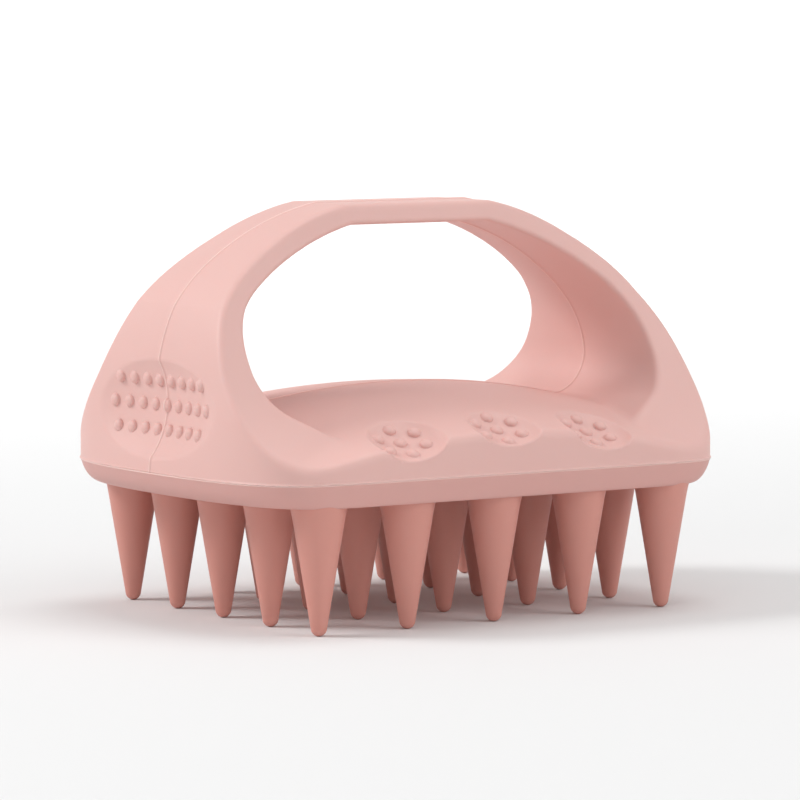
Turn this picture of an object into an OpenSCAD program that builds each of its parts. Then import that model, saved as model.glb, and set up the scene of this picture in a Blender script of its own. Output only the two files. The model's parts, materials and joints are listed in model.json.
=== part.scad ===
// Scalp massager brush: an arched silicone grip on a bristle base with 25 tapered bristles.
// Millimetres, +Z up, X along the grip. Z = 0 is the plane that the bristle tips stand on.

/* [Outline] */
// Length over the rim
length = 100; // [90:1:110]
// Width over the rim
width = 71.4; // [68:0.2:76]
// Squareness of the outline towards its two ends
end_power = 11.7; // [6:0.1:14]
// Squareness of the outline towards its two long sides
side_power = 2.34; // [2.1:0.02:3]

/* [Heights] */
// Height of the flat top of the grip above the bristle tips
total_h = 70; // [68:0.5:74]
// Height of the rim, where grip and base meet, above the bristle tips
rim_z = 25.5; // [24:0.5:28]
// Thickness of the bristle base below the rim
base_t = 4; // [3:0.1:5]

/* [Arch] */
// Half length of the flat top
flat_half = 15.2; // [12:0.2:18]
// Slope of the arch where the flat top ends, in degrees
shoulder_slope = 10.4; // [8:0.1:14]
// Slope of the arch where its two arcs meet, in degrees
haunch_slope = 38.8; // [34:0.1:44]
// Slope of the straight end wall, in degrees
wall_slope = 83.2; // [80:0.1:85]
// Radius of the upper arc
shoulder_r = 51; // [46:0.5:54]

/* [Opening] */
// Thickness of the band at the flat top
band_t = 3.7; // [3:0.1:5]
// Half length of the flat underside of the band
gap_flat_half = 13.9; // [12:0.1:16]
// Radii of the three arcs down each side of the opening
gap_r = [47.2, 19, 7.6]; // [7:0.1:50]
// Slopes where those arcs begin and end, in degrees
gap_slopes = [14.1, 42.7, 83.4, 150]; // [12:0.1:152]

/* [Body top] */
// Radius of the lengthwise curve of the body's top
crown_r = 160; // [140:1:200]
// Height of the crown above the rim
crown_h = 13.2; // [12:0.1:15]
// Height of the front and rear edges above the rim, at the middle
edge_h = 7.2; // [6:0.1:8]
// Half width of the band at its flat top
band_half = 8.5; // [7:0.1:10]
// Radii of the two hollow arcs down the band's front and rear faces
cove_r = [100, 47.6]; // [40:0.2:110]
// Slopes where those arcs begin and end, in degrees
cove_slopes = [76, 60, 32]; // [30:1:78]

/* [Finger rests] */
// Distance between neighbouring finger rests
rest_pitch = 20; // [18:0.5:21]
// Radius of a finger rest's groove
rest_r = 10.7; // [10:0.1:12]
// Slope of the groove, in degrees
rest_slope = 32; // [26:1:34]
// Length of the groove up from the edge
rest_l = 12; // [11:0.5:13]
// Height of the middle groove above the rim where it meets the edge
rest_floor = 4.2; // [4:0.1:5]
// Columns of bumps across a groove, and bumps in each
rest_rows = [2, 3, 2]; // [1:1:3]
// Distance between columns, and between bumps in a column
rest_bump_pitch = [3.8, 3.7]; // [3.4:0.1:4]
// Distance of the middle bump from the edge
rest_bump_s = 4.9; // [4.8:0.1:5.4]
// Diameter of a bump in a finger rest
rest_bump_d = 2.4; // [2:0.1:2.6]

/* [Side rests] */
// Length, height and depth of the oval rest in each end wall
side_rest = [33, 17, 2.6]; // [2:0.1:34]
// Height of its middle above the rim
side_rest_h = 12.1; // [10.5:0.1:12.5]
// Bumps in each of its rows, from the top
side_rows = [8, 9, 8]; // [1:1:9]
// Distance between bumps along a row
side_bump_pitch = 3.65; // [3.4:0.05:3.8]
// Distance between rows
side_row_pitch = 4.2; // [3.8:0.05:4.6]
// How far the middle row lies below the middle of the rest
side_rows_drop = 0.9; // [0:0.1:1]
// Diameter of a bump in a side rest
side_bump_d = 2; // [1.6:0.1:2.2]

/* [Bristles] */
// Bristles along the length and across the width
bristles = [5, 5]; // [1:1:5]
// Distance between bristles along the length and across the width
bristle_pitch = [17.6, 14.9]; // [12:0.1:18]
// Diameter of a bristle at its root
root_d = 9.4; // [8.6:0.1:10]
// Diameter of its rounded tip
tip_d = 2.7; // [2.2:0.1:3.4]

/* [Base joint] */
// Distance from the rim to the locating tongue of the base
tongue_inset = 6; // [5:0.5:9]
// Height of the locating tongue above the rim
tongue_h = 1.5; // [1:0.1:1.6]
// Horizontal inset of the rounded lower edge of the base, at its ends and along its sides
base_round = [4.4, 1.2]; // [0.6:0.1:5]
// Height inside the base of the boss that each bristle stands on
boss_h = 3; // [2:0.1:3.4]

/* [Hidden] */
$fn = 48;

arc_steps = 12;
outline_steps = 96;
silicone_light = [0.90, 0.72, 0.68];
silicone_mid = [0.86, 0.66, 0.62];
silicone_deep = [0.80, 0.58, 0.53];

half_l = length / 2;
half_w = width / 2;
top_h = total_h - rim_z;
base_z = rim_z - base_t;
bristle_l = base_z;
clear = 10;

// A curve of power law outline, set in from the rim by inset in X and in Y
function outline(inset) = [
  for (i = [0 : outline_steps - 1])
    let (t = 360 * i / outline_steps, c = cos(t), s = sin(t))
    [
      (half_l - inset.x) * sign(c) * pow(abs(c), 2 / end_power),
      (half_w - inset.y) * sign(s) * pow(abs(s), 2 / side_power)
    ]
];

// End of an arc that starts at p and turns downwards from slope a to slope b. A negative
// radius is for a hollow arc, which gets less steep
function arc_end(p, r, a, b) = [p.x + r * (sin(b) - sin(a)), p.y - r * (cos(a) - cos(b))];

// Points of that arc, without its first one
function arc_points(p, r, a, b) = [
  for (i = [1 : arc_steps])
    arc_end(p, r, a, a + (b - a) * i / arc_steps)
];

// The left half of a shape is its right half mirrored, so that one path goes right round
function both_sides(points) = concat(
  points,
  [for (i = [len(points) - 1 : -1 : 0]) [-points[i].x, points[i].y]]
);

// Radius of the lower arc of the arch, which brings the end wall to the rim's half length
upper_run = shoulder_r * (sin(haunch_slope) - sin(shoulder_slope));
upper_drop = shoulder_r * (cos(shoulder_slope) - cos(haunch_slope));
haunch_r = (half_l - flat_half - upper_run - (top_h - upper_drop) / tan(wall_slope))
  / (sin(wall_slope) - sin(haunch_slope)
    - (cos(haunch_slope) - cos(wall_slope)) / tan(wall_slope));

// Length and height of the outside of the arch, with height counted from the rim
arch_shoulder = [flat_half, top_h];
arch_haunch = arc_end(arch_shoulder, shoulder_r, shoulder_slope, haunch_slope);
arch_side = concat(
  [arch_shoulder],
  arc_points(arch_shoulder, shoulder_r, shoulder_slope, haunch_slope),
  arc_points(arch_haunch, haunch_r, haunch_slope, wall_slope),
  [[half_l, 0]]
);

// Length and height of the opening below the band, carried on down into the body
gap_top = [gap_flat_half, top_h - band_t];
gap_knee = arc_end(gap_top, gap_r[0], gap_slopes[0], gap_slopes[1]);
gap_side = arc_end(gap_knee, gap_r[1], gap_slopes[1], gap_slopes[2]);
gap_foot = arc_end(gap_side, gap_r[2], gap_slopes[2], gap_slopes[3]);
gap_points = concat(
  [gap_top],
  arc_points(gap_top, gap_r[0], gap_slopes[0], gap_slopes[1]),
  arc_points(gap_knee, gap_r[1], gap_slopes[1], gap_slopes[2]),
  arc_points(gap_side, gap_r[2], gap_slopes[2], gap_slopes[3]),
  [[gap_foot.x - gap_foot.y / tan(180 - gap_slopes[3]), 0]]
);

// The body's top is turned about a line across it, this far below the rim
axis_h = crown_h - crown_r;
edge_y = half_w - 0.7;

// Half width and height, at the middle of the length, of the body's top
crown_drop = crown_h - edge_h;
across_r = (edge_y * edge_y + crown_drop * crown_drop) / 2 / crown_drop;
across_slope = asin((half_w + 2) / across_r);
crown_points = concat([[0, crown_h]], arc_points([0, crown_h], across_r, 0, across_slope));

// Half width and height of the band's front and rear faces, which end in a straight slope
cove_top = [band_half, top_h];
cove_knee = arc_end(cove_top, -cove_r[0], cove_slopes[0], cove_slopes[1]);
cove_foot = arc_end(cove_knee, -cove_r[1], cove_slopes[1], cove_slopes[2]);
cove_run = half_w + clear - cove_foot.x;
cove_points = concat(
  [[band_half - clear / tan(cove_slopes[0]), top_h + clear]],
  arc_points(cove_top, -cove_r[0], cove_slopes[0], cove_slopes[1]),
  arc_points(cove_knee, -cove_r[1], cove_slopes[1], cove_slopes[2]),
  [
    [half_w + clear, cove_foot.y - cove_run * tan(cove_slopes[2])],
    [half_w + clear, -clear]
  ]
);

// Radii of the oval side rests: along the end wall and up it
side_bow = half_l - outline_x(side_rest[0] / 2);
side_long_r = arc_radius(side_rest[0] / 2, side_rest[2] - side_bow);
side_high_r = arc_radius(side_rest[1] / 2, side_rest[2]);
side_floor_x = half_l - side_rest_h / tan(wall_slope) - side_rest[2];

// How far a bump's centre lies below the surface it stands on, as a share of its diameter
bump_sink = 0.17;

// Radius and half angle of a bristle's tip and cone
tip_r = tip_d / 2;
cone_axis = bristle_l - tip_r;
cone_half_angle = atan(root_d / 2 / cone_axis) - asin(tip_r / norm([root_d / 2, cone_axis]));

// Slope of the base's rounded edge where it leaves the rim, measured from the wall
edge_turn = 25;
edge_steps = 5;

// Half length of the outline at the distance y from its middle line
function outline_x(y) = half_l * pow(1 - pow(y / half_w, side_power), 1 / end_power);

// Radius of an arc from half its chord and its rise
function arc_radius(half_chord, rise) = (half_chord * half_chord + rise * rise) / 2 / rise;

// Distance from the middle of the side rest's floor, at y along the wall and h up it
function side_floor(y, h) =
  let (up = side_long_r - side_high_r + sqrt(side_high_r * side_high_r - h * h))
    side_long_r - sqrt(up * up - y * y);

// The body under the opening: its cross-section is turned about the crown's axis
module crown() {
  points = concat(
    [[0, 0]],
    [for (i = [len(crown_points) - 1 : -1 : 0]) [crown_points[i].y - axis_h, crown_points[i].x]],
    [for (p = crown_points) [p.y - axis_h, -p.x]]
  );
  translate([0, 0, rim_z + axis_h])
    rotate([90, 0, 0])
      rotate_extrude($fn = 360)
        polygon(points);
}

// A solid with the outline of points, in length and height from the rim, across the part
module across(points) {
  translate([0, 0, rim_z])
    rotate([90, 0, 0])
      linear_extrude(height = width + clear, center = true)
        polygon(both_sides(points));
}

// The same with points in width and height, along the part
module along(points) {
  translate([0, 0, rim_z])
    rotate([90, 0, 90])
      linear_extrude(height = length + clear, center = true)
        polygon(both_sides(points));
}

// The upper moulding without its rests: the arch, its opening and the crowned body
module shell() {
  intersection() {
    translate([0, 0, rim_z])
      linear_extrude(height = top_h + clear)
        polygon(outline([0, 0]));
    across(arch_side);
    union() {
      difference() {
        along(cove_points);
        across(gap_points);
      }
      crown();
    }
  }
}

// Puts its children at a finger rest of the front edge, with Y up the groove
module at_rest(column) {
  x = column * rest_pitch;
  translate([x, -edge_y, rim_z + rest_floor - x * x / 2 / crown_r])
    rotate([rest_slope, 0, 0])
      children();
}

module rest_grooves() {
  for (column = [-1 : 1])
    at_rest(column)
      translate([0, -rest_l / 2, rest_r])
        rotate([-90, 0, 0])
          cylinder(r = rest_r, h = rest_l * 1.5, $fn = 72);
}

module rest_bumps() {
  for (column = [-1 : 1])
    at_rest(column)
      for (i = [0 : len(rest_rows) - 1])
        for (k = [0 : rest_rows[i] - 1]) {
          x = (i - 1) * rest_bump_pitch[0];
          rise = rest_r - sqrt(rest_r * rest_r - x * x);
          y = rest_bump_s + (k - (rest_rows[i] - 1) / 2) * rest_bump_pitch[1];
          translate([x, y, rise - bump_sink * rest_bump_d])
            sphere(d = rest_bump_d, $fn = 24);
        }
}

module side_hollow() {
  translate([side_floor_x + side_long_r, 0, rim_z + side_rest_h])
    rotate_extrude($fn = 144)
      translate([side_long_r - side_high_r, 0])
        circle(r = side_high_r, $fn = 96);
}

module side_bumps() {
  for (i = [0 : len(side_rows) - 1])
    for (k = [0 : side_rows[i] - 1]) {
      y = (k - (side_rows[i] - 1) / 2) * side_bump_pitch;
      h = (1 - i) * side_row_pitch - side_rows_drop;
      translate([
        side_floor_x + side_floor(y, h) - bump_sink * side_bump_d,
        y,
        rim_z + side_rest_h + h
      ])
        rotate([0, 90, 0])
          sphere(d = side_bump_d, $fn = 24);
    }
}

// Upper silicone moulding: arched band and crowned body in one piece
module grip_body() {
  color(silicone_light) {
    difference() {
      shell();
      for (turn = [0, 180])
        rotate([0, 0, turn]) {
          rest_grooves();
          side_hollow();
        }
      translate([0, 0, rim_z - 1])
        linear_extrude(height = tongue_h + 1)
          polygon(outline([tongue_inset, tongue_inset]));
    }
    for (turn = [0, 180])
      rotate([0, 0, turn]) {
        rest_bumps();
        side_bumps();
      }
  }
}

// Shares of the full inset and of the full depth of the base's rounded edge at step i
function edge_turned(i) = edge_turn + (90 - edge_turn) * i / edge_steps;
function edge_in(i) = 1 - cos(edge_turned(i)) / cos(edge_turn);
function edge_down(i) = (sin(edge_turned(i)) - sin(edge_turn)) / (1 - sin(edge_turn));

// Place of a bristle over the base
function bristle_place(column, row) = [
  (column - (bristles[0] + 1) / 2) * bristle_pitch[0],
  (row - (bristles[1] + 1) / 2) * bristle_pitch[1]
];

// Carries the bristles' taper on into the base, so that each root is seated all round
module bosses() {
  for (row = [1 : bristles[1]])
    for (column = [1 : bristles[0]])
      translate([each bristle_place(column, row), base_z])
        cylinder(r1 = root_d / 2, r2 = root_d / 2 + boss_h * tan(cone_half_angle), h = boss_h);
}

// Lower silicone moulding: a tray with a rounded lower edge and a locating tongue
module bristle_base() {
  n = outline_steps;
  rings = [
    for (i = [0 : edge_steps])
      for (p = outline(edge_in(i) * base_round)) [p.x, p.y, rim_z - edge_down(i) * base_t]
  ];
  walls = [
    for (i = [0 : edge_steps - 1])
      for (k = [0 : n - 1])
        [i * n + k, i * n + (k + 1) % n, (i + 1) * n + (k + 1) % n, (i + 1) * n + k]
  ];
  top = [for (k = [n - 1 : -1 : 0]) k];
  bottom = [for (k = [0 : n - 1]) edge_steps * n + k];
  color(silicone_mid)
    union() {
      polyhedron(points = rings, faces = concat([top], walls, [bottom]));
      translate([0, 0, rim_z - 1])
        linear_extrude(height = tongue_h + 1)
          polygon(outline([tongue_inset, tongue_inset]));
      bosses();
    }
}

// Cone with a rounded tip, hanging from the base's underside
module bristle(column, row) {
  color(silicone_deep)
    translate([each bristle_place(column, row), 0])
      rotate_extrude($fn = 48)
        polygon(concat(
          [[0, bristle_l], [root_d / 2, bristle_l]],
          [
            for (i = [0 : arc_steps])
              let (turn = cone_half_angle + (90 - cone_half_angle) * i / arc_steps)
                [max(0, tip_r * cos(turn)), tip_r * (1 - sin(turn))]
          ]
        ));
}

grip_body();
bristle_base();
for (row = [1 : bristles[1]])
  for (column = [1 : bristles[0]])
    bristle(column, row);
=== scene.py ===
# Looks of the scalp massager brush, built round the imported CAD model.
import json
import math

import bmesh
import bpy
import numpy as np
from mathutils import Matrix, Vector


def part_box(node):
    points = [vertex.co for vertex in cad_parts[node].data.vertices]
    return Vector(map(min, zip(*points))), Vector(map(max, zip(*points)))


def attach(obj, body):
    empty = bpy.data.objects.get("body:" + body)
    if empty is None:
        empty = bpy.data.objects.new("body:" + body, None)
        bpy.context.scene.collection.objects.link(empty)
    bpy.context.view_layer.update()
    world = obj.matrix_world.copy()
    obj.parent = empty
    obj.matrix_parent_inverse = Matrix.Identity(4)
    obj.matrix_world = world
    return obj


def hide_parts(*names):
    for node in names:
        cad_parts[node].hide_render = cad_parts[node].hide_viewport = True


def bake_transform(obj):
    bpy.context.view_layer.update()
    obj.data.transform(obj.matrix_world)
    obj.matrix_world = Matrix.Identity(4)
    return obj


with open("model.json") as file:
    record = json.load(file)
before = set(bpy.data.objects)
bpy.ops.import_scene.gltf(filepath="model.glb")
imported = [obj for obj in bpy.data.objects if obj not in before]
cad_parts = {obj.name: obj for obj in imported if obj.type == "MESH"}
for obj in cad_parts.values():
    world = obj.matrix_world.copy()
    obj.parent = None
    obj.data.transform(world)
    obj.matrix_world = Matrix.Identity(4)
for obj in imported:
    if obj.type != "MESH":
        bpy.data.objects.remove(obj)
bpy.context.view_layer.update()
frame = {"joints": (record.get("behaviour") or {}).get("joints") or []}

MM = 0.001

# ---------------------------------------------------------------- sizes in mm and degrees, h counted from the rim
grip_low, grip_high = (np.array(c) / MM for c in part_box("grip_body"))
base_low = np.array(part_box("bristle_base")[0]) / MM
RIM_Z = grip_low[2]
HALF_L, HALF_W = grip_high[0], grip_high[1]
TOP_H = grip_high[2] - RIM_Z
BASE_T = RIM_Z - base_low[2]
ROOT_Z = RIM_Z - BASE_T
# Powers of the rim's outline
END_POWER, SIDE_POWER = 11.7, 2.34

# Outside of the arch: half of its flat top, then the slopes where its arcs meet
FLAT_HALF = 15.2
SHOULDER = (10.4, 38.8, 83.2)
SHOULDER_R = 51.0
# Opening under the arch
BAND_T = 3.7
GAP_HALF = 13.9
GAP_R = (47.2, 19.0, 7.6)
GAP_SLOPES = (14.1, 42.7, 83.4, 150.0)
# How much wider the opening is at the band's faces than in its middle, round one height
GAP_FLARE, GAP_FLARE_H, GAP_FLARE_REACH = 1.75, 27.0, 10.0
# Faces of the band, flaring into the body
BAND_HALF = 8.5
COVE_R = (100.0, 47.6)
COVE_SLOPES = (76.0, 60.0, 32.0)
# How far the band's outer face is crowned, and how far below the flat top that fades in
BAND_CROWN, BAND_CROWN_FADE = 0.6, 6.0
# How far the handle leans towards -X, and the heights between which the lean grows
LEAN, LEAN_FROM, LEAN_OVER = 0.95, 14.0, 14.0
# Crowned body: radius along the brush, and its heights in the middle and at the sides
CROWN_R, CROWN_H, EDGE_H = 160.0, 13.2, 7.2
EDGE_Y = HALF_W - 0.7

# Finger rests, the middle one and an outer one: the middle of the floor, and the bowl's half sizes
REST_X = (0.0, 19.0)
REST_Y = (30.9, 30.2)
REST_FLOOR = (6.65, 5.35)
REST_SLOPE = math.radians(28)
REST_RADII = (6.8, 8.8, 3.0)
REST_TILT = [math.asin(x / CROWN_R) for x in REST_X]
# Bumps in a finger rest: columns across, with each bump's place up the slope
REST_COLUMNS = ((-3.7, (1.9, -1.8)), (0.0, (4.0, 0.4, -3.3)), (3.7, (1.9, -1.8)))

# Side rest at each end: width, height and depth, then the height of its middle and its rows of bumps
SIDE_REST = (33.0, 17.0, 2.6)
SIDE_H = 12.1
SIDE_ROWS = (8, 9, 8)
SIDE_ROWS_H = SIDE_H - 0.9
SIDE_PITCH, SIDE_ROW_PITCH = 3.68, 4.2

# Radii of the bumps, and how many times wider than high they are
BUMP, SIDE_BUMP, BUMP_FLAT = 1.15, 1.12, 1.5
# How far round a bump the mesh is made finer, once and then again
BUMP_REACH = (0.9, 0.45)

# Flash lines left by the mould, round the rim and along the middle: height and half width
RIM_FLASH = (0.2, 0.22)
MIDDLE_FLASH = (0.26, 0.21)

# Roundings where the upper moulding's shapes meet
FOOT_ROUND, ARCH_ROUND, RIM_ROUND = 1.0, 1.1, 1.3
REST_ROUND, SIDE_ROUND, BUMP_ROUND, UNDER_ROUND = 0.3, 0.22, 0.1, 0.05

# Base: how far its rounded edge goes in at the ends and the sides, and the slope it starts from
BASE_IN = (3.8, 0.8)
BASE_TURN = 25.0

# Bristles: radii at the root and the tip, the small flare at the root, and how far below the rim they start
ROOT_R, TIP_R = 4.7, 1.35
ROOT_FLARE, ROOT_FLARE_REACH = 0.18, 0.5
ROOT_SUNK = 0.8


def sin(a):
    return math.sin(math.radians(a))


def cos(a):
    return math.cos(math.radians(a))


def tan(a):
    return math.tan(math.radians(a))


# ---------------------------------------------------------------- distance fields, negative inside
def smax(a, b, k):
    """Larger of a and b, rounded where they meet."""
    h = np.maximum(k - np.abs(a - b), 0.0) / k
    return np.maximum(a, b) + h * h * k * 0.25


def smin(a, b, k):
    return -smax(-a, -b, k)


class Chain:
    """Distance to a path of lines and arcs that runs downwards. Negative on its right, towards u = 0."""

    def __init__(self, start):
        self.p = start
        self.parts = []

    def line(self, to):
        self.parts.append(("line", self.p, to))
        self.p = to
        return self

    def arc(self, r, a, b):
        """Turns from slope a to slope b, in degrees below level. A hollow arc has a negative radius."""
        u, v = self.p
        centre = (u - r * sin(a), v - r * cos(a))
        self.parts.append(("arc", centre, r, sorted((90 - a, 90 - b))))
        self.p = (u + r * (sin(b) - sin(a)), v - r * (cos(a) - cos(b)))
        return self

    def __call__(self, u, v):
        best = np.full(np.broadcast(u, v).shape, 1e6)
        for part in self.parts:
            if part[0] == "line":
                (u0, v0), (u1, v1) = part[1:]
                du, dv = u1 - u0, v1 - v0
                size = math.hypot(du, dv)
                t = np.clip(((u - u0) * du + (v - v0) * dv) / size / size, 0, 1)
                away = np.hypot(u - u0 - t * du, v - v0 - t * dv)
                side = np.where((u - u0) * -dv + (v - v0) * du >= 0, 1.0, -1.0)
                d = away * side
            else:
                _, (cu, cv), r, (low, high) = part
                flip = 1.0 if r > 0 else -1.0
                turn = np.degrees(np.arctan2((v - cv) * flip, (u - cu) * flip))
                turn = np.where(turn < low - 180, turn + 360, turn)
                d = (np.hypot(u - cu, v - cv) - abs(r)) * flip
                d = np.where((turn >= low) & (turn <= high), d, 1e6)
            best = np.where(np.abs(d) < np.abs(best), d, best)
        return best


def outline_distance(x, y):
    """To the rim's power-law outline."""
    u, w = np.maximum(x / HALF_L, 1e-3), np.maximum(y / HALF_W, 1e-3)
    f = u**END_POWER + w**SIDE_POWER
    fu = END_POWER / HALF_L * u ** (END_POWER - 1)
    fw = SIDE_POWER / HALF_W * w ** (SIDE_POWER - 1)
    return (f - 1) / np.maximum(np.hypot(fu, fw), 0.02)


upper_run = SHOULDER_R * (sin(SHOULDER[1]) - sin(SHOULDER[0]))
upper_drop = SHOULDER_R * (cos(SHOULDER[0]) - cos(SHOULDER[1]))
HAUNCH_R = (HALF_L - FLAT_HALF - upper_run - (TOP_H - upper_drop) / tan(SHOULDER[2])) / (
    sin(SHOULDER[2]) - sin(SHOULDER[1]) - (cos(SHOULDER[1]) - cos(SHOULDER[2])) / tan(SHOULDER[2])
)
arch = Chain((-5.0, TOP_H)).line((FLAT_HALF, TOP_H))
arch.arc(SHOULDER_R, *SHOULDER[:2]).arc(HAUNCH_R, *SHOULDER[1:])
arch.line((arch.p[0] + 40 * cos(SHOULDER[2]), arch.p[1] - 40 * sin(SHOULDER[2])))

gap = Chain((-5.0, TOP_H - BAND_T)).line((GAP_HALF, TOP_H - BAND_T))
for r, a, b in zip(GAP_R, GAP_SLOPES, GAP_SLOPES[1:]):
    gap.arc(r, a, b)
gap.line((gap.p[0] - 40, gap.p[1] - 40 * tan(180 - GAP_SLOPES[3])))

cove = Chain((BAND_HALF - 20 / tan(COVE_SLOPES[0]), TOP_H + 20)).line((BAND_HALF, TOP_H))
cove.arc(-COVE_R[0], *COVE_SLOPES[:2]).arc(-COVE_R[1], *COVE_SLOPES[1:])
cove.line((cove.p[0] + 40, cove.p[1] - 40 * tan(COVE_SLOPES[2])))

ACROSS_R = (EDGE_Y**2 + (CROWN_H - EDGE_H) ** 2) / 2 / (CROWN_H - EDGE_H)


def crown_distance(x, y, h):
    rho = np.hypot(x, h - CROWN_H + CROWN_R)
    return np.hypot(y, rho - CROWN_R + ACROSS_R) - ACROSS_R


def ellipsoid(a, b, c, radii):
    ra, rb, rc = radii
    k0 = np.sqrt((a / ra) ** 2 + (b / rb) ** 2 + (c / rc) ** 2)
    k1 = np.sqrt((a / ra / ra) ** 2 + (b / rb / rb) ** 2 + (c / rc / rc) ** 2)
    return k0 * (k0 - 1) / np.maximum(k1, 1e-6)


# Half width of the band by height, for how far its faces are crowned
band_h = np.linspace(0, TOP_H, 120)
band_y = np.linspace(0, HALF_W + 4, 400)
band_half_at = band_y[np.argmax(cove(band_y[None, :], band_h[:, None]) > 0, axis=1)]


def turned(u, v, angle):
    return u * math.cos(angle) + v * math.sin(angle), v * math.cos(angle) - u * math.sin(angle)


def rest_axes(i, x, y, h):
    """Across, up the slope and out of a finger rest, from the middle of its floor."""
    a, w = turned(x - REST_X[i], h - REST_FLOOR[i], -REST_TILT[i])
    s, n = turned(REST_Y[i] - y, w, REST_SLOPE)
    return a, s, n


def rest_point(i, a, s, n):
    """The place with these rest_axes."""
    v, w = turned(s, n, -REST_SLOPE)
    x, h = turned(a, w, REST_TILT[i])
    return REST_X[i] + x, REST_Y[i] - v, REST_FLOOR[i] + h


def rest_bowl(i, x, y, h):
    a, s, n = rest_axes(i, x, y, h)
    return ellipsoid(a, s, n - REST_RADII[2], REST_RADII)


def rest_floor(a, s):
    k = 1 - (a / REST_RADII[0]) ** 2 - (s / REST_RADII[1]) ** 2
    return REST_RADII[2] * (1 - math.sqrt(max(k, 0)))


side_bow = HALF_L - HALF_L * (1 - (SIDE_REST[0] / 2 / HALF_W) ** SIDE_POWER) ** (1 / END_POWER)


def arc_radius(half, rise):
    return (half * half + rise * rise) / 2 / rise


LONG_R = arc_radius(SIDE_REST[0] / 2, SIDE_REST[2] - side_bow)
HIGH_R = arc_radius(SIDE_REST[1] / 2, SIDE_REST[2])
SIDE_X = HALF_L - SIDE_H / tan(SHOULDER[2]) - SIDE_REST[2]


def side_bowl(x, y, h):
    around = np.hypot(x - SIDE_X - LONG_R, y) - LONG_R + HIGH_R
    return np.hypot(around, h - SIDE_H) - HIGH_R


def side_floor(y, h):
    up = LONG_R - HIGH_R + math.sqrt(HIGH_R**2 - h * h)
    return SIDE_X + LONG_R - math.sqrt(up * up - y * y)


def bump_list():
    """Centre, radius and outward direction of the small bumps, where x and y are positive."""
    found = []
    for i in range(2):
        for a, places in REST_COLUMNS:
            for s in places:
                n = rest_floor(a, s)
                foot, above = rest_point(i, a, s, n), rest_point(i, a, s, n + 1)
                if foot[0] >= 0:
                    found.append((*foot, BUMP, *(q - p for p, q in zip(foot, above))))
    for k, count in enumerate(SIDE_ROWS):
        for j in range(count):
            y, h = (j - (count - 1) / 2) * SIDE_PITCH, SIDE_ROWS_H + (1 - k) * SIDE_ROW_PITCH
            if y >= 0:
                found.append((side_floor(y, h - SIDE_H), y, h, SIDE_BUMP, 1, 0, 0))
    return found


BUMPS = bump_list()


def grip_field(x, y, h):
    """The whole upper moulding."""
    x = x + LEAN * np.clip((h - LEAN_FROM) / LEAN_OVER, 0, 1) ** 2
    x, y = np.abs(x), np.abs(y)
    half = np.interp(h, band_h, band_half_at)
    share = np.minimum(y / half, 1.2) ** 2
    d_arch = arch(x, h) + share * BAND_CROWN * np.clip((TOP_H - h) / BAND_CROWN_FADE, 0, 1)
    d_gap = gap(x, h) - share * GAP_FLARE * np.exp(-(((h - GAP_FLARE_H) / GAP_FLARE_REACH) ** 2))
    band = smax(cove(y, h), -d_gap, FOOT_ROUND)
    body = crown_distance(x, y, h)
    d = smin(band, body, FOOT_ROUND)
    d = smax(d, d_arch, ARCH_ROUND)
    rim = outline_distance(x, y) - RIM_FLASH[0] * np.exp(-(((h - 0.1) / RIM_FLASH[1]) ** 2))
    d = smax(d, rim, RIM_ROUND)
    for i in range(2):
        d = smax(d, -rest_bowl(i, x, y, h), REST_ROUND)
    d = smax(d, -side_bowl(x, y, h), SIDE_ROUND)
    for bx, by, bh, br, nx, ny, nh in BUMPS:
        u, v, w = x - bx, y - by, h - bh
        out = u * nx + v * ny + w * nh
        flat = np.sqrt(u * u + v * v + w * w + (BUMP_FLAT**2 - 1) * out * out)
        d = smin(d, flat - br, BUMP_ROUND)
    d = d - MIDDLE_FLASH[0] * np.exp(-((y / MIDDLE_FLASH[1]) ** 2))
    return smax(d, -h, UNDER_ROUND)


def gradient(field, p, step=0.03):
    out = np.empty_like(p)
    for axis in range(3):
        q = p.copy()
        q[:, axis] += step
        up = field(*q.T)
        q[:, axis] -= 2 * step
        out[:, axis] = (up - field(*q.T)) / (2 * step)
    return out


def settle(field, p, rounds=4, cap=0.3):
    """Moves points on to the field's surface."""
    for _ in range(rounds):
        g = gradient(field, p)
        size = np.maximum((g * g).sum(1), 0.05)
        move = g * (field(*p.T) / size)[:, None]
        length = np.linalg.norm(move, axis=1)
        move *= np.minimum(1, cap / np.maximum(length, 1e-9))[:, None]
        p = p - move
    return p


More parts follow.
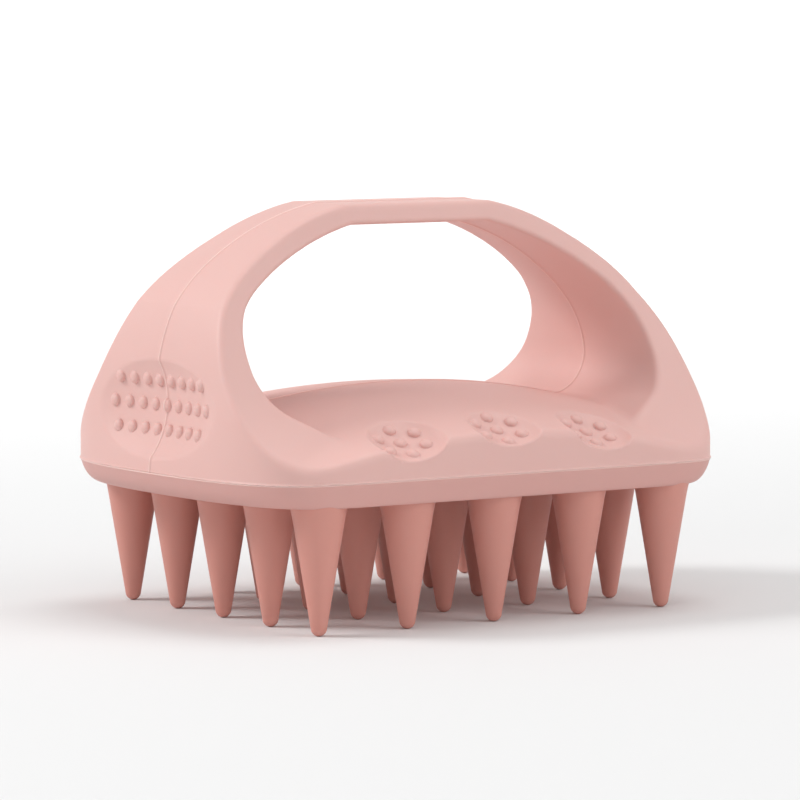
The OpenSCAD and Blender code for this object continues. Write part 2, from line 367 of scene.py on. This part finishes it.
def surface_net(field, xs, ys, zs):
    """Quads round the zero level of a field on a rectilinear grid."""
    f = field(xs[:, None, None], ys[None, :, None], zs[None, None, :])
    inside = f < 0
    shape = tuple(n - 1 for n in f.shape)
    total = np.zeros(shape + (3,))
    count = np.zeros(shape)
    grids = (xs, ys, zs)
    for axis in range(3):
        a = np.moveaxis(f, axis, 0)
        cross = np.moveaxis(inside, axis, 0)
        cut = cross[:-1] != cross[1:]
        t = np.where(cut, a[:-1] / np.where(cut, a[:-1] - a[1:], 1), 0)
        g = grids[axis]
        along = g[:-1, None, None] + t * (g[1:] - g[:-1])[:, None, None]
        others = [k for k in range(3) if k != axis]
        for i in range(2):
            for j in range(2):
                sl = [slice(None), slice(i, i + shape[others[0]]), slice(j, j + shape[others[1]])]
                c = np.moveaxis(cut[tuple(sl)], 0, axis)
                count += c
                point = [None] * 3
                point[axis] = np.moveaxis(along[tuple(sl)], 0, axis)
                for k, o in zip((i, j), others):
                    line = grids[o][k : k + shape[o]]
                    point[o] = line.reshape([-1 if m == o else 1 for m in range(3)])
                for m in range(3):
                    total[..., m] += np.where(c, point[m], 0)
    used = count > 0
    index = np.full(shape, -1)
    index[used] = np.arange(used.sum())
    verts = total[used] / count[used][:, None]
    faces = []
    for axis in range(3):
        others = [k for k in range(3) if k != axis]
        idx = np.moveaxis(index, [axis] + others, [0, 1, 2])
        cross = np.moveaxis(inside, [axis] + others, [0, 1, 2])
        a, b = cross[:-1], cross[1:]
        for sign, hit in ((1, a & ~b), (-1, ~a & b)):
            i, j, k = np.nonzero(hit[:, 1:-1, 1:-1])
            quad = np.stack([idx[i, j, k], idx[i, j + 1, k], idx[i, j + 1, k + 1], idx[i, j, k + 1]], 1)
            if (sign > 0) != (axis == 1):
                faces.append(quad)
            else:
                faces.append(quad[:, ::-1])
    return verts, np.concatenate(faces)


def mirrored(values):
    return np.concatenate([-values[::-1], values])


def spaced(stops, steps):
    """Grid lines between stops, with about the given step in each stretch."""
    out = []
    for a, b, step in zip(stops, stops[1:], steps):
        out.append(np.linspace(a, b, max(2, round((b - a) / step) + 1))[:-1])
    out.append(np.array([stops[-1]]))
    return np.concatenate(out)


def shade_smooth(mesh):
    mesh.polygons.foreach_set("use_smooth", np.ones(len(mesh.polygons), bool))


def build_grip():
    """Net of the field, finer along the middle and the rim, and finer still round the bumps."""
    step = 0.5
    xs = mirrored(spaced([step / 2, HALF_L + 1], [step]))
    ys = mirrored(spaced([0.06, 0.66, HALF_W + 1], [0.12, step]))
    zs = spaced([-0.3, 0.6, TOP_H + 1], [0.1, step])
    verts, faces = surface_net(grip_field, xs, ys, zs)
    verts = settle(grip_field, verts, 3)
    mesh = bpy.data.meshes.new("grip")
    mesh.from_pydata(verts.tolist(), [], faces.tolist())
    mesh.update()
    bm = bmesh.new()
    bm.from_mesh(mesh)
    bumps = np.array(BUMPS)
    for reach in BUMP_REACH:
        centres = np.array([f.calc_center_median() for f in bm.faces])
        q = np.stack([np.abs(centres[:, 0]), np.abs(centres[:, 1]), centres[:, 2]], 1)
        close = np.full(len(q), False)
        for b in bumps:
            close |= ((q - b[:3]) ** 2).sum(1) < (b[3] + reach) ** 2
        bm.faces.ensure_lookup_table()
        edges = {e for i in np.nonzero(close)[0] for e in bm.faces[i].edges}
        bmesh.ops.subdivide_edges(bm, edges=list(edges), cuts=1, use_grid_fill=True)
    bmesh.ops.triangulate(bm, faces=[f for f in bm.faces if len(f.verts) > 4])
    bm.to_mesh(mesh)
    bm.free()
    p = np.array([v.co for v in mesh.vertices])
    p = settle(grip_field, p, 3)
    n = gradient(grip_field, p, 0.04)
    n /= np.maximum(np.linalg.norm(n, axis=1), 1e-9)[:, None]
    world = (p + [0, 0, RIM_Z]) * MM
    mesh.vertices.foreach_set("co", world.ravel().astype(np.float32))
    mesh.update()
    shade_smooth(mesh)
    mesh.normals_split_custom_set_from_vertices(n.tolist())
    return mesh


def add_object(name, mesh, body=None):
    obj = bpy.data.objects.new(name, mesh)
    bpy.context.scene.collection.objects.link(obj)
    if body:
        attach(obj, body)
    return obj


# ---------------------------------------------------------------- silicone
# Paler colour laid along the mould's flash lines: a painted highlight for light caught by their raised ridges
FLASH_PAINTED_HIGHLIGHT = (0.96, 0.70, 0.65)


def near_plane(nodes, links, axis, at, reach):
    """Factor that is 1 on a plane across an axis and 0 at reach from it."""
    where = nodes.new("ShaderNodeTexCoord")
    split = nodes.new("ShaderNodeSeparateXYZ")
    away = nodes.new("ShaderNodeMath")
    away.operation = "SUBTRACT"
    away.inputs[1].default_value = at
    size = nodes.new("ShaderNodeMath")
    size.operation = "ABSOLUTE"
    fade = nodes.new("ShaderNodeMapRange")
    fade.interpolation_type = "SMOOTHSTEP"
    fade.inputs["From Max"].default_value = reach
    fade.inputs["To Min"].default_value = 0.8
    fade.inputs["To Max"].default_value = 0.0
    links.new(where.outputs["Object"], split.inputs[0])
    links.new(split.outputs[axis], away.inputs[0])
    links.new(away.outputs[0], size.inputs[0])
    links.new(size.outputs[0], fade.inputs["Value"])
    return fade.outputs["Result"]


def silicone(name, colour, deep, flash=()):
    """Matt silicone. Along the thin flash left on the mould's parting planes the colour is painted paler, a
    painted highlight standing in for light caught by the raised ridges.
    """
    mat = bpy.data.materials.new(name)
    mat.use_nodes = True
    nodes, links = mat.node_tree.nodes, mat.node_tree.links
    shader = nodes["Principled BSDF"]
    shader.inputs["Roughness"].default_value = 0.5
    shader.inputs["Specular IOR Level"].default_value = 0.5
    shader.inputs["Subsurface Weight"].default_value = 0.12
    shader.inputs["Subsurface Radius"].default_value = (1.0, 0.35, 0.25)
    shader.inputs["Subsurface Scale"].default_value = 0.0007
    where = nodes.new("ShaderNodeTexCoord")
    cloud = nodes.new("ShaderNodeTexNoise")
    cloud.inputs["Scale"].default_value = 60
    cloud.inputs["Detail"].default_value = 3
    mix = nodes.new("ShaderNodeMix")
    mix.data_type = "RGBA"
    mix.inputs[6].default_value = (*colour, 1)
    mix.inputs[7].default_value = (*deep, 1)
    links.new(where.outputs["Object"], cloud.inputs["Vector"])
    links.new(cloud.outputs["Fac"], mix.inputs[0])
    tint = mix.outputs[2]
    # Painted highlight mixed in towards the paler colour near each parting plane
    for axis, at, reach in flash:
        painted_highlight = nodes.new("ShaderNodeMix")
        painted_highlight.data_type = "RGBA"
        painted_highlight.inputs[7].default_value = (*FLASH_PAINTED_HIGHLIGHT, 1)
        links.new(near_plane(nodes, links, axis, at, reach), painted_highlight.inputs[0])
        links.new(tint, painted_highlight.inputs[6])
        tint = painted_highlight.outputs[2]
    links.new(tint, shader.inputs["Base Color"])
    grain = nodes.new("ShaderNodeTexNoise")
    grain.inputs["Scale"].default_value = 2200
    grain.inputs["Detail"].default_value = 2
    rough = nodes.new("ShaderNodeMapRange")
    rough.inputs["To Min"].default_value = 0.46
    rough.inputs["To Max"].default_value = 0.6
    bump = nodes.new("ShaderNodeBump")
    bump.inputs["Strength"].default_value = 0.08
    bump.inputs["Distance"].default_value = 0.0001
    links.new(where.outputs["Object"], grain.inputs["Vector"])
    links.new(grain.outputs["Fac"], rough.inputs["Value"])
    links.new(rough.outputs["Result"], shader.inputs["Roughness"])
    links.new(grain.outputs["Fac"], bump.inputs["Height"])
    links.new(bump.outputs["Normal"], shader.inputs["Normal"])
    return mat


# Bands of painted highlight: across Z at the rim's flash line and across Y along the middle one
rim_flash_highlight = ("Z", RIM_Z * MM, 0.24 * MM)
middle_flash_highlight = ("Y", 0, 0.26 * MM)
skin = silicone("silicone", (0.77, 0.475, 0.435), (0.75, 0.455, 0.415), (middle_flash_highlight, rim_flash_highlight))
# The base is darker than the grip: partly its own tone, partly painted shade of the low tray under the grip
base_tone_and_painted_shade = silicone("silicone_base", (0.67, 0.365, 0.33), (0.65, 0.35, 0.315), (rim_flash_highlight,))
# The cones are darker and redder than the grip: painted shade under the brush and painted red light bounced
# between the cones
cone_skin_painted_shade = silicone("silicone_bristle", (0.66, 0.295, 0.245), (0.64, 0.28, 0.23))

grip = add_object("grip", build_grip(), "grip")
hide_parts("grip_body")
grip.data.materials.append(skin)


# ---------------------------------------------------------------- bristle base
def rim_ring(share, count):
    """Points round the rim's outline, evenly spread, with a share of the base's full inset."""
    t = np.linspace(0, 2 * math.pi, 4001)
    c, s = np.cos(t), np.sin(t)
    x = HALF_L * np.sign(c) * np.abs(c) ** (2 / END_POWER)
    y = HALF_W * np.sign(s) * np.abs(s) ** (2 / SIDE_POWER)
    run = np.concatenate([[0], np.cumsum(np.hypot(np.diff(x), np.diff(y)))])
    at = np.linspace(0, run[-1], count, endpoint=False)
    x, y = np.interp(at, run, x), np.interp(at, run, y)
    return np.stack([x * (1 - share * BASE_IN[0] / HALF_L), y * (1 - share * BASE_IN[1] / HALF_W)], 1)


def build_base():
    """Closed tray: rings over its top, down its rounded edge and across its underside."""
    count, edge_steps, under_steps, over_steps = 480, 22, 14, 4
    lift = 0.02
    edge = []
    for i in range(edge_steps + 1):
        turn = BASE_TURN + (90 - BASE_TURN) * (i / edge_steps) ** 1.2
        drop = BASE_T * (sin(turn) - sin(BASE_TURN)) / (1 - sin(BASE_TURN))
        flash = 0.03 * math.exp(-((drop / 0.3) ** 2))
        edge.append((1 - cos(turn) / cos(BASE_TURN) - flash, -drop))
    rings = [np.c_[rim_ring(share, count), np.full(count, z)] for share, z in edge]
    last, first = rings[-1], rings[0]
    for k in range(1, under_steps):
        r = last.copy()
        r[:, :2] *= 1 - k / under_steps
        rings.append(r)
    top_rings = []
    for k in range(1, over_steps):
        r = first.copy()
        r[:, :2] *= 1 - k / over_steps
        r[:, 2] = lift
        top_rings.append(r)
    rings = top_rings[::-1] + rings
    verts = np.concatenate(rings + [[[0, 0, lift]], [[0, 0, -BASE_T]]])
    n = len(rings)
    faces = []
    for i in range(n - 1):
        for k in range(count):
            m = (k + 1) % count
            faces.append((i * count + k, (i + 1) * count + k, (i + 1) * count + m, i * count + m))
    for k in range(count):
        m = (k + 1) % count
        faces.append((n * count, k, m))
        faces.append((n * count + 1, (n - 1) * count + m, (n - 1) * count + k))
    mesh = bpy.data.meshes.new("base")
    mesh.from_pydata(((verts + [0, 0, RIM_Z]) * MM).tolist(), [], faces)
    mesh.update()
    shade_smooth(mesh)
    return mesh


base = add_object("base", build_base(), "grip")
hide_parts("bristle_base")
base.data.materials.append(base_tone_and_painted_shade)


# ---------------------------------------------------------------- bristles
def bristle_profile():
    """Radius and height from inside the base down to the tip."""
    axis = ROOT_Z - TIP_R
    half = math.degrees(math.atan(ROOT_R / axis) - math.asin(TIP_R / math.hypot(ROOT_R, axis)))
    top = RIM_Z - ROOT_SUNK
    z1, r1 = TIP_R * (1 - sin(half)), TIP_R * cos(half)
    r0 = r1 + (top - z1) * tan(half)
    points = []
    cone_steps, tip_steps = 24, 12
    for i in range(cone_steps + 1):
        t = i / cone_steps
        z = top + (z1 - top) * t
        flare = ROOT_FLARE * math.exp(-abs(z - ROOT_Z) / ROOT_FLARE_REACH)
        points.append((r0 + (r1 - r0) * t + flare, z))
    for i in range(1, tip_steps + 1):
        a = half + (90 - half) * i / tip_steps
        points.append((TIP_R * cos(a), TIP_R * (1 - sin(a))))
    return points


def build_bristle(name, x, y):
    count = 56
    profile = bristle_profile()
    verts, faces = [(0, 0, profile[0][1])], []
    rings = profile[:-1]
    for r, z in rings:
        for k in range(count):
            a = 2 * math.pi * k / count
            verts.append((r * math.cos(a), r * math.sin(a), z))
    verts.append((0, 0, 0))
    end = len(verts) - 1
    for k in range(count):
        m = (k + 1) % count
        faces.append((0, 1 + k, 1 + m))
        for i in range(len(rings) - 1):
            a, b = 1 + i * count, 1 + (i + 1) * count
            faces.append((a + k, b + k, b + m, a + m))
        a = 1 + (len(rings) - 1) * count
        faces.append((a + k, end, a + m))
    mesh = bpy.data.meshes.new(name)
    v = (np.array(verts) + [x, y, 0]) * MM
    mesh.from_pydata(v.tolist(), [], faces)
    mesh.update()
    shade_smooth(mesh)
    mesh.materials.append(cone_skin_painted_shade)
    return mesh


for joint in frame["joints"]:
    body = joint["child"]
    node = body.replace("body_", "bristle_")
    low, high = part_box(node)
    middle = (low + high) / 2 / MM
    mesh = build_bristle(node, middle.x, middle.y)
    piece = add_object(node.replace("bristle", "cone"), mesh)
    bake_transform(piece)
    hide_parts(node)


# ---------------------------------------------------------------- floor, light, camera
def plain(name, colour, roughness):
    mat = bpy.data.materials.new(name)
    mat.use_nodes = True
    shader = mat.node_tree.nodes["Principled BSDF"]
    shader.inputs["Base Color"].default_value = (*colour, 1)
    shader.inputs["Roughness"].default_value = roughness
    return mat


def studio_floor():
    """A flat round floor whose edge sweeps up all round, so that no view shows a horizon."""
    count, flat, sweep = 128, 1.5, 1.0
    rings = [(flat * k / 6, 0) for k in range(1, 7)]
    rings += [(flat + sweep * sin(a), sweep * (1 - cos(a))) for a in range(5, 76, 5)]
    verts, faces = [(0, 0, 0)], []
    for r, z in rings:
        turns = [2 * math.pi * k / count for k in range(count)]
        verts += [(r * math.cos(t), r * math.sin(t), z) for t in turns]
    for k in range(count):
        m = (k + 1) % count
        faces.append((0, 1 + k, 1 + m))
        for i in range(len(rings) - 1):
            a, b = 1 + i * count, 1 + (i + 1) * count
            faces.append((a + k, b + k, b + m, a + m))
    mesh = bpy.data.meshes.new("floor")
    mesh.from_pydata(verts, [], faces)
    shade_smooth(mesh)
    return mesh


floor_mesh = studio_floor()
floor = bpy.data.objects.new("floor", floor_mesh)
bpy.context.scene.collection.objects.link(floor)
floor_mesh.materials.append(plain("floor_paper", (0.8, 0.8, 0.8), 0.9))

scene = bpy.context.scene
world = bpy.data.worlds.new("studio")
scene.world = world
world.use_nodes = True
world.node_tree.nodes["Background"].inputs["Color"].default_value = (1, 1, 1, 1)
world.node_tree.nodes["Background"].inputs["Strength"].default_value = 0.5
scene.view_settings.view_transform = "Standard"


def area_light(name, place, target, size, power):
    data = bpy.data.lights.new(name, "AREA")
    data.shape = "DISK"
    data.size = size
    data.energy = power
    obj = bpy.data.objects.new(name, data)
    scene.collection.objects.link(obj)
    obj.location = place
    obj.rotation_euler = (Vector(target) - Vector(place)).to_track_quat("-Z", "Y").to_euler()


# The camera's azimuth and elevation in degrees, its distance from the rim's middle in metres, and its lens
VIEW_AZ, VIEW_EL, VIEW_D = -33.872, 5.443, 0.8673
LENS, SHIFT = 225.09, (0.0058, 0.0713)

aim = Vector((0, 0, RIM_Z * MM))
back = Vector((sin(VIEW_AZ) * cos(VIEW_EL), -cos(VIEW_AZ) * cos(VIEW_EL), sin(VIEW_EL)))
right = Vector((cos(VIEW_AZ), sin(VIEW_AZ), 0))
up = Vector((0, 0, 1))
area_light("key", aim - right * 1.05 + back * 0.05 + up * 0.85, aim, 0.5, 9.0)
area_light("top", aim - back * 0.15 + right * 0.2 + up * 1.25, aim, 0.7, 3.6)
area_light("fill", aim + right * 1.0 + back * 0.35 + up * 0.6, aim, 0.9, 4)
area_light("front", aim + back * 1.2 + up * 0.7 - right * 0.2, aim, 1.0, 1.5)
area_light("backdrop", aim - back * 0.9 + up * 1.3, aim - back * 2.4 + up * 0.5, 1.0, 20)

cam_data = bpy.data.cameras.new("camera")
cam_data.lens = LENS
cam_data.sensor_width = 36
cam_data.shift_x, cam_data.shift_y = SHIFT
camera = bpy.data.objects.new("camera", cam_data)
scene.collection.objects.link(camera)
camera.location = aim + back * VIEW_D
camera.rotation_euler = (-back).to_track_quat("-Z", "Y").to_euler()
scene.camera = camera
